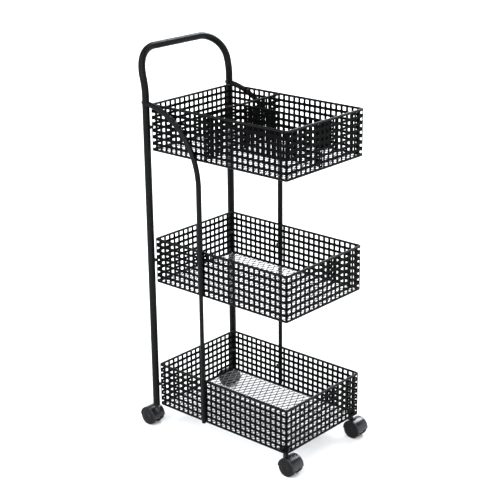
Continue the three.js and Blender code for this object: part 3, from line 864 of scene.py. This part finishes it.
class CART_OT_rims(bpy.types.Operator):
    """Bend the rim wires"""

    bl_idname = "cart.rims"
    bl_label = "Rim Wires"

    def execute(self, context):
        sizes = context.scene.cart_sizes
        for tier in TIERS:
            for level in ("bottom", "top"):
                self.wire(tier, level, sizes)
        return {"FINISHED"}

    @staticmethod
    def wire(tier, level, sizes):
        node = f"{tier}_basket_{level}_rim"
        lo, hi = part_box(node)
        radius = (hi.z - lo.z) / 2
        corner = sizes.basket_corner
        along = hi.x - lo.x - 2 * corner
        across = hi.y - lo.y - 2 * corner
        bend = corner - radius
        bm = bmesh.new()
        run = TubeRun(bm, (lo.x + radius, (lo.y + hi.y) / 2, lo.z + radius), -Y, radius,
                      WIRE_SIDES)
        run.go(across / 2)
        for towards, straight in ((X, along), (Y, across), (-X, along), (-Y, across / 2)):
            run.turn(towards, bend, pi / 2, WIRE_BEND_STEPS)
            run.go(straight)
        bmesh.ops.remove_doubles(bm, verts=bm.verts, dist=1e-5)
        make_piece(bm, f"rim_wire_{tier}_{level}", "frame", ["wire_coat"],
                   [node])


class CART_OT_floors(bpy.types.Operator):
    """Stretch the expanded-metal floors"""

    bl_idname = "cart.floors"
    bl_label = "Basket Floors"

    def execute(self, context):
        sizes = context.scene.cart_sizes
        for tier in TIERS:
            self.floor(tier, sizes)
        return {"FINISHED"}

    @staticmethod
    def floor(tier, sizes):
        lo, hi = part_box(f"{tier}_basket_bottom_rim")
        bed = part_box(f"{tier}_basket_floor")
        wire = (hi.z - lo.z) / 2
        half_x = (hi.x - lo.x) / 2 - wire
        half_y = (hi.y - lo.y) / 2 - wire
        centre = (lo + hi) / 2
        cells = 2 * int(half_x / sizes.floor_along + half_y / sizes.floor_across + 2)
        stretch = Matrix.Diagonal((
            cells * sizes.floor_along / sqrt(2), cells * sizes.floor_across / sqrt(2), 1, 1))
        bm = bmesh.new()
        bmesh.ops.create_grid(
            bm, x_segments=cells, y_segments=cells, size=0.5,
            matrix=stretch @ Matrix.Rotation(pi / 4, 4, "Z"))
        diamonds = [f for f in bm.faces
                    if abs(f.calc_center_median().x) < half_x + sizes.floor_along
                    and abs(f.calc_center_median().y) < half_y + sizes.floor_across]
        bmesh.ops.delete(bm, geom=newer(bm.faces, set(diamonds)), context="FACES")
        bmesh.ops.inset_individual(
            bm, faces=diamonds, thickness=sizes.strand_width / 2, depth=0.0,
            use_even_offset=True)
        for diamond in diamonds:
            bmesh.ops.rotate(
                bm, verts=list(diamond.verts), cent=diamond.calc_center_median(),
                matrix=Matrix.Rotation(-sizes.strand_tilt, 3, "Y"))
        bmesh.ops.delete(bm, geom=diamonds, context="FACES_ONLY")
        thicken(bm, sizes.strand_thickness)
        strand_edge = 0.00015
        round_cut_edges(bm, strand_edge)
        height = (bed[0].z + bed[1].z) / 2 - sizes.strand_thickness / 2
        bmesh.ops.translate(bm, verts=bm.verts, vec=(centre.x, centre.y, height))
        for outward, reach in ((X, half_x), (-X, half_x), (Y, half_y), (-Y, half_y)):
            trim(bm, Vector((centre.x, centre.y, 0)) + outward * reach, outward)
        make_piece(bm, f"expanded_floor_{tier}", "frame", ["floor_coat_and_painted_reflection"],
                   [f"{tier}_basket_floor"], sharp=40)


class CART_OT_dividers(bpy.types.Operator):
    """Make the top basket's two dividers and the plate at the front wall"""

    bl_idname = "cart.dividers"
    bl_label = "Dividers"

    def execute(self, context):
        sizes = context.scene.cart_sizes
        self.divider("cross_divider", Y, sizes.columns_short, sizes)
        lo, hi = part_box("long_divider")
        columns = round((hi.x - lo.x) / (extent("top_basket_top_rim").x / sizes.columns_long))
        self.divider("long_divider", X, columns, sizes)
        self.plate()
        return {"FINISHED"}

    @staticmethod
    def divider(node, along, columns, sizes):
        """A flat sheet of the walls' mesh under a wire that reaches both rims."""
        lo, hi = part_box(node)
        across = Z.cross(along)
        wire = abs((hi - lo).dot(across)) / 2
        span = (hi - lo).dot(along)
        first = (lo + hi) / 2 - along * span / 2
        bm = bmesh.new()
        mesh_sheet(bm, 0.0, span, hi.z - wire - lo.z, columns, sizes)
        thicken(bm, SHEET)
        round_cut_edges(bm, sizes.sheet_edge)
        upright = Matrix((
            (along.x, 0, -across.x, first.x + across.x * SHEET / 2),
            (along.y, 0, -across.y, first.y + across.y * SHEET / 2),
            (0, 1, 0, lo.z),
            (0, 0, 0, 1)))
        bmesh.ops.transform(bm, matrix=upright, verts=bm.verts)
        reach = 0.0012
        start = Vector((first.x, first.y, hi.z - wire)) - along * reach
        rod(bm, start, along, span + 2 * reach, wire, WIRE_SIDES, edge=CHAMFER)
        make_piece(bm, f"{node}_mesh", "frame", ["mesh_coat"], [node],
                   sharp=50)

    @staticmethod
    def plate():
        lo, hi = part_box("long_divider_end_plate")
        bm = bmesh.new()
        block(bm, lo, hi, corner=0.003, edge=0.0003, upright=X)
        rivet_profile = [(0, 0.0011), (0.0012, 0.001), (0.002, 0.0007), (0.0026, 0), (0, -0.0004)]
        for share in (0.2, 0.8):
            for aside in (-0.3, 0.3):
                at = Vector((lo.x, (lo.y + hi.y) / 2 + aside * (hi.y - lo.y),
                             lo.z + share * (hi.z - lo.z)))
                turned(bm, rivet_profile, 16, facing(-X, at))
        make_piece(bm, "divider_end_plate", "frame", ["plate_coat"],
                   ["long_divider_end_plate"])


# ---- Casters ---------------------------------------------------------------------------

# The hood's wall, the rounding of its rim, and how far it comes down past the axle.
HOOD_SHELL = 0.001
HOOD_ROUND = 0.0009
HOOD_DROP = 0.001
# The flange on stems and sockets, and the plate that carries a front socket.
SOCKET_FLANGE = 0.0014
GUSSET = 0.0016


class Caster:
    """Where a caster's swivel and axle stand."""

    def __init__(self, end, side):
        self.end = end
        self.name = f"{end}_{side}"
        self.stem = middle(f"{self.name}_caster_stem")
        self.axle = middle(f"{self.name}_caster_axle")
        arm = self.axle - self.stem
        self.trail = sqrt(arm.x ** 2 + arm.y ** 2)
        self.place = (Matrix.Translation(self.axle)
                      @ Matrix.Rotation(atan2(arm.y, arm.x), 4, "Z"))
        self.upright = Matrix.Translation((self.stem.x, self.stem.y, 0))
        self.hood_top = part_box(f"{self.name}_caster_hood")[1].z
        self.hood_r = self.hood_top - self.axle.z
        self.half_width = extent(f"{self.name}_caster_hood").y / 2


def casters():
    return [Caster(end, side) for end in ENDS for side in SIDES]


def front_boss_top():
    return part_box("bottom_basket_floor")[1].z + 0.0002 + GUSSET + 0.009


def flanged_sleeve(foot, top, flange, sleeve, edge=0.0):
    """The profile of a bored sleeve on a flange; edge chamfers the sleeve's top."""
    head = foot + SOCKET_FLANGE
    end = [(sleeve, top - edge), (sleeve - edge, top)] if edge else [(sleeve, top)]
    return [(SOCKET_BORE, foot), (flange - CHAMFER, foot), (flange, foot + CHAMFER),
            (flange, head), (sleeve, head), *end, (SOCKET_BORE, top), (SOCKET_BORE, foot)]


def merge_in(bm, other):
    """Adds another bmesh's shells to this one."""
    mesh = bpy.data.meshes.new("shell")
    other.to_mesh(mesh)
    other.free()
    bm.from_mesh(mesh)
    bpy.data.meshes.remove(mesh)


class CART_OT_hoods(bpy.types.Operator):
    """Mould the caster hoods"""

    bl_idname = "cart.hoods"
    bl_label = "Caster Hoods"

    def execute(self, context):
        for caster in casters():
            bm = bmesh.new()
            self.fender(bm, caster)
            self.core(bm, caster)
            self.boss(bm, caster)
            bmesh.ops.transform(bm, matrix=caster.place, verts=bm.verts)
            make_piece(bm, f"hood_{caster.name}", f"{caster.name}_swivel",
                       ["hood_nylon"], [f"{caster.name}_caster_hood"], sharp=40)
        return {"FINISHED"}

    @staticmethod
    def fender(bm, caster):
        """The shell over the wheels: its section in radius and width, turned past a half."""
        inner = caster.hood_r - HOOD_SHELL
        half = caster.half_width
        rim = rounded_rim(caster.hood_r, half, HOOD_ROUND, 4)
        section = [(inner, -half), *[(radius, -width) for radius, width in rim],
                   *reversed(rim), (inner, half)]
        drop = asin(HOOD_DROP / caster.hood_r)
        verts = [bm.verts.new((radius, width, 0)) for radius, width in section]
        edges = [bm.edges.new(pair) for pair in zip(verts, verts[1:] + verts[:1])]
        bmesh.ops.rotate(bm, verts=verts, cent=(0, 0, 0), matrix=Matrix.Rotation(drop, 3, "Y"))
        last = spin(bm, edges, (0, 0, 0), -Y, pi + 2 * drop, 56)
        bmesh.ops.edgeloop_fill(bm, edges=edges)
        bmesh.ops.edgeloop_fill(bm, edges=last)

    @staticmethod
    def core(bm, caster):
        """The rib under the shell and the disc between the wheels, cut off level."""
        core_half = 0.006
        core_radius = 0.0195
        core_foot = -0.008
        edge = 0.0005
        for radius, foot in ((caster.hood_r - HOOD_SHELL / 2, -HOOD_DROP),
                             (core_radius, core_foot)):
            disc = bmesh.new()
            turned(disc, drum(radius, core_half, edge), 64, facing(Y, Vector((0, 0, 0))))
            trim(disc, Vector((0, 0, foot)), -Z)
            merge_in(bm, disc)

    @staticmethod
    def boss(bm, caster):
        """The upright boss that the stem stands in."""
        top = caster.hood_r
        radius = 0.0068
        foot = -0.004
        socket = top - 0.003
        profile = [(0, foot), (radius, foot), (radius, 0.006), (0.0061, top - 0.0012),
                   (0.0058, top - CHAMFER), (0.0052, top), (SOCKET_BORE, top),
                   (SOCKET_BORE, socket), (0, socket)]
        turned(bm, profile, 40, Matrix.Translation((-caster.trail, 0, 0)))


class CART_OT_wheels(bpy.types.Operator):
    """Turn the twin wheels"""

    bl_idname = "cart.wheels"
    bl_label = "Wheels"

    def execute(self, context):
        for caster in casters():
            for position in ("outer", "inner"):
                self.wheel(caster, position)
        return {"FINISHED"}

    @staticmethod
    def wheel(caster, position):
        node = f"{caster.name}_wheel_{position}"
        lo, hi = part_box(node)
        centre = (lo + hi) / 2
        half = (hi.y - lo.y) / 2
        radius = (hi.z - lo.z) / 2
        outward = Y if centre.y > caster.axle.y else -Y
        cover = radius * 0.83
        groove = half - 0.0005
        hub = half - 0.0007
        blind_end = half - 0.003
        axle_hole = 0.0028
        # From the hub's dimple out over the cover disc, its groove and the tread, to the axle.
        profile = [
            (0, hub), (0.0036, hub), (0.0041, half - 0.0003), (0.0046, half - 0.0002),
            (cover * 0.6, half - 0.00005), (cover - 0.0006, half - 0.0002),
            (cover - 0.0001, groove), (cover + 0.0005, groove), (cover + 0.0009, half),
            *rounded_rim(radius, half, 0.0022, 6), (radius, 0), (radius, -half + 0.0014),
            (radius - CHAMFER, -half + CHAMFER), (radius - 0.0014, -half), (axle_hole, -half),
            (axle_hole, blind_end), (0, blind_end)]
        bm = bmesh.new()
        turned(bm, profile, WHEEL_SIDES)
        for face in bm.faces:
            spot = face.calc_center_median()
            face.material_index = 1 if sqrt(spot.x ** 2 + spot.y ** 2) > cover else 0
        bmesh.ops.transform(bm, matrix=facing(outward, centre), verts=bm.verts)
        make_piece(bm, f"wheel_{caster.name}_{position}", f"{caster.name}_{position}_wheel",
                   ["wheel_cover", "wheel_tread"], [node], sharp=40)


class CART_OT_stems(bpy.types.Operator):
    """Turn the swivel stems, their sockets and the axles"""

    bl_idname = "cart.stems"
    bl_label = "Stems, Sockets and Axles"

    def execute(self, context):
        for caster in casters():
            self.stem(caster)
            self.axle(caster)
            if caster.end == "rear":
                self.rear_socket(caster)
            else:
                self.front_socket(caster)
        return {"FINISHED"}

    @staticmethod
    def stem(caster):
        """A pin with a collar over the hood and a snap groove near its tip."""
        lo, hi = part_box(f"{caster.name}_caster_stem")
        tip = hi.z if caster.end == "rear" else front_boss_top() + 0.0024
        foot = caster.hood_top + 0.0003
        flange = foot + SOCKET_FLANGE
        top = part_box(f"{caster.name}_caster_socket")[0].z - CHAMFER
        collar = (hi.x - lo.x) / 2
        neck = collar - 0.0009
        groove = PIN - 0.0007
        profile = [
            (0, lo.z), (PIN - CHAMFER, lo.z), (PIN, lo.z + CHAMFER), (PIN, foot),
            (collar - CHAMFER, foot), (collar, foot + CHAMFER), (collar, flange),
            (neck, flange + CHAMFER), (neck, top - CHAMFER), (PIN + 0.0002, top), (PIN, top),
            (PIN, tip - 0.008), (groove, tip - 0.0072), (groove, tip - 0.0052),
            (PIN, tip - 0.0044), (PIN, tip - 0.0016), (PIN - 0.0012, tip - 0.0003),
            (PIN - 0.0024, tip), (0, tip)]
        bm = bmesh.new()
        turned(bm, profile, 36, caster.upright)
        make_piece(bm, f"stem_{caster.name}", f"{caster.name}_swivel",
                   ["black_screw"], [f"{caster.name}_caster_stem"])

    @staticmethod
    def axle(caster):
        size = extent(f"{caster.name}_caster_axle")
        bm = bmesh.new()
        turned(bm, drum(size.z / 2, size.y / 2, CHAMFER), 28, facing(Y, caster.axle))
        make_piece(bm, f"axle_{caster.name}", f"{caster.name}_swivel",
                   ["zinc_steel"], [f"{caster.name}_caster_axle"])

    @staticmethod
    def rear_socket(caster):
        """A flanged sleeve in the foot of the post."""
        node = f"{caster.name}_caster_socket"
        lo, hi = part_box(node)
        rim = (hi.x - lo.x) / 2
        bm = bmesh.new()
        turned(bm, flanged_sleeve(lo.z, hi.z, rim, rim - 0.0018), 40, caster.upright)
        make_piece(bm, f"socket_{caster.name}", "frame", ["hood_nylon"], [node])

    @staticmethod
    def front_socket(caster):
        """A gusset on the floor mesh with a flanged boss through it and a bead of weld."""
        node = f"{caster.name}_caster_socket"
        lo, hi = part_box(node)
        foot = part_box("bottom_basket_floor")[1].z + 0.0002
        top = foot + GUSSET
        left = caster.stem.y > 0
        inward = Vector((-1, -1 if left else 1, 0)).normalized()
        outer_corner = Vector((hi.x, hi.y if left else lo.y, 0))
        bm = bmesh.new()
        block(bm, (lo.x, lo.y, foot), (hi.x, hi.y, top), corner=0.004)
        trim(bm, outer_corner + inward * 0.017, inward)
        bevel(bm, sharp_edges(bm.edges, 60), 0.0003, 2)
        boss = 0.0054
        sleeve = flanged_sleeve(lo.z, front_boss_top(), 0.0068, boss, edge=CHAMFER)
        turned(bm, sleeve, 40, caster.upright)
        sunk = boss - 0.0006
        bead = [(sunk, top - 0.0002), (boss + 0.0014, top - 0.0002), (boss + 0.0009, top + 0.0006),
                (boss, top + 0.0014), (sunk, top + 0.0014), (sunk, top - 0.0002)]
        turned(bm, bead, 40, caster.upright)
        make_piece(bm, f"socket_{caster.name}", "frame", ["plate_coat"], [node])


# ---- Stage -----------------------------------------------------------------------------


class CART_OT_stage(bpy.types.Operator):
    """Lay the pale floor and place the soft lights and the camera"""

    bl_idname = "cart.stage"
    bl_label = "Stage"

    def execute(self, context):
        scene = context.scene
        self.floor(scene)
        self.sky(scene)
        sun = self.light(scene, "soft_sun", "SUN", 3.0, Vector((-0.25, 0.6, -0.8)))
        sun.angle = radians(90)
        pool = self.light(scene, "floor_pool", "AREA", 14, -Z, at=(0.0, -1.9, 1.1))
        self.soften(pool, 1.0, 1.0)
        back = self.light(scene, "back_softbox", "AREA", 230, Vector((0.1, -0.72, -0.69)),
                          at=(-0.7, 4.4, 4.2))
        self.soften(back, 3.0, 2.0)
        self.camera(scene)
        scene.view_settings.view_transform = "Standard"
        scene.view_settings.look = "Medium High Contrast"
        return {"FINISHED"}

    @staticmethod
    def floor(scene):
        bm = bmesh.new()
        bmesh.ops.create_grid(bm, x_segments=1, y_segments=1, size=30.0)
        mesh = bpy.data.meshes.new("studio_floor")
        bm.to_mesh(mesh)
        bm.free()
        floor = bpy.data.objects.new("studio_floor", mesh)
        scene.collection.objects.link(floor)
        finish = Finish("studio_paper", 0.9)
        tone = finish.noise(scale=1.5, detail=2)
        finish.drive("Base Color", finish.mix(tone, (0.88, 0.88, 0.88), (0.9, 0.9, 0.9)))
        mesh.materials.append(finish.material)

    @staticmethod
    def sky(scene):
        """A bright horizon under a dim ceiling, so that dark gloss has something to show."""
        world = bpy.data.worlds.new("studio_sky")
        world.use_nodes = True
        nodes, links = world.node_tree.nodes, world.node_tree.links
        direction = nodes.new("ShaderNodeTexCoord")
        split = nodes.new("ShaderNodeSeparateXYZ")
        ramp = nodes.new("ShaderNodeValToRGB")
        horizon, ceiling = ramp.color_ramp.elements
        horizon.position = 0.38
        horizon.color = (1.0, 1.0, 1.0, 1.0)
        ceiling.position = 0.52
        ceiling.color = (0.20, 0.205, 0.215, 1.0)
        background = nodes["Background"]
        background.inputs["Strength"].default_value = 1.2
        links.new(direction.outputs["Generated"], split.inputs["Vector"])
        links.new(split.outputs["Z"], ramp.inputs["Fac"])
        links.new(ramp.outputs["Color"], background.inputs["Color"])
        scene.world = world

    @staticmethod
    def light(scene, name, kind, power, towards, at=(0, 0, 0)):
        data = bpy.data.lights.new(name, kind)
        data.energy = power
        lamp = bpy.data.objects.new(name, data)
        lamp.location = at
        lamp.rotation_mode = "QUATERNION"
        lamp.rotation_quaternion = towards.to_track_quat("-Z", "Y")
        scene.collection.objects.link(lamp)
        return data

    @staticmethod
    def soften(data, width, height):
        """Makes an area light a cool rectangular softbox."""
        data.shape = "RECTANGLE"
        data.color = (0.93, 0.97, 1.0)
        data.size = width
        data.size_y = height

    @staticmethod
    def camera(scene):
        azimuth, elevation, roll = radians(41.35), radians(19.6), radians(-0.55)
        distance = 2.94
        aim = (CAD_BOX[0] + CAD_BOX[1]) / 2 + Vector((-0.0100, 0.0003, -0.0087))
        back = Vector((sin(azimuth) * cos(elevation), -cos(azimuth) * cos(elevation),
                       sin(elevation)))
        data = bpy.data.cameras.new("camera")
        data.sensor_width = 36
        data.lens = 94.2
        camera = bpy.data.objects.new("camera", data)
        camera.rotation_mode = "QUATERNION"
        look = (-back).to_track_quat("-Z", "Y")
        camera.rotation_quaternion = look @ Matrix.Rotation(roll, 3, "Z").to_quaternion()
        camera.location = aim + back * distance
        scene.collection.objects.link(camera)
        scene.camera = camera


# ---- Panel, registration and main ------------------------------------------------------


class CART_PT_panel(bpy.types.Panel):
    """Lists the steps that build the cart"""

    bl_idname = "CART_PT_panel"
    bl_label = "Rolling Utility Cart"
    bl_space_type = "VIEW_3D"
    bl_region_type = "UI"
    bl_category = "Cart"

    def draw(self, context):
        layout = self.layout
        for group in (context.scene.cart_sizes, context.scene.cart_finishes):
            column = layout.column(align=True)
            for name in group.__annotations__:
                column.prop(group, name)
        for step in STEPS:
            layout.operator(step.bl_idname)


STEPS = (
    CART_OT_finishes,
    CART_OT_frame_tube,
    CART_OT_braces,
    CART_OT_screws,
    CART_OT_basket_walls,
    CART_OT_rims,
    CART_OT_floors,
    CART_OT_dividers,
    CART_OT_hoods,
    CART_OT_wheels,
    CART_OT_stems,
    CART_OT_stage,
)
CLASSES = (CartSizes, CartFinishes, *STEPS, CART_PT_panel)


def register():
    for cls in CLASSES:
        bpy.utils.register_class(cls)
    bpy.types.Scene.cart_sizes = PointerProperty(type=CartSizes)
    bpy.types.Scene.cart_finishes = PointerProperty(type=CartFinishes)


def unregister():
    del bpy.types.Scene.cart_finishes
    del bpy.types.Scene.cart_sizes
    for cls in reversed(CLASSES):
        bpy.utils.unregister_class(cls)


def main():
    register()
    for step in STEPS:
        group, name = step.bl_idname.split(".")
        getattr(getattr(bpy.ops, group), name)()


if __name__ == "__main__":
    main()
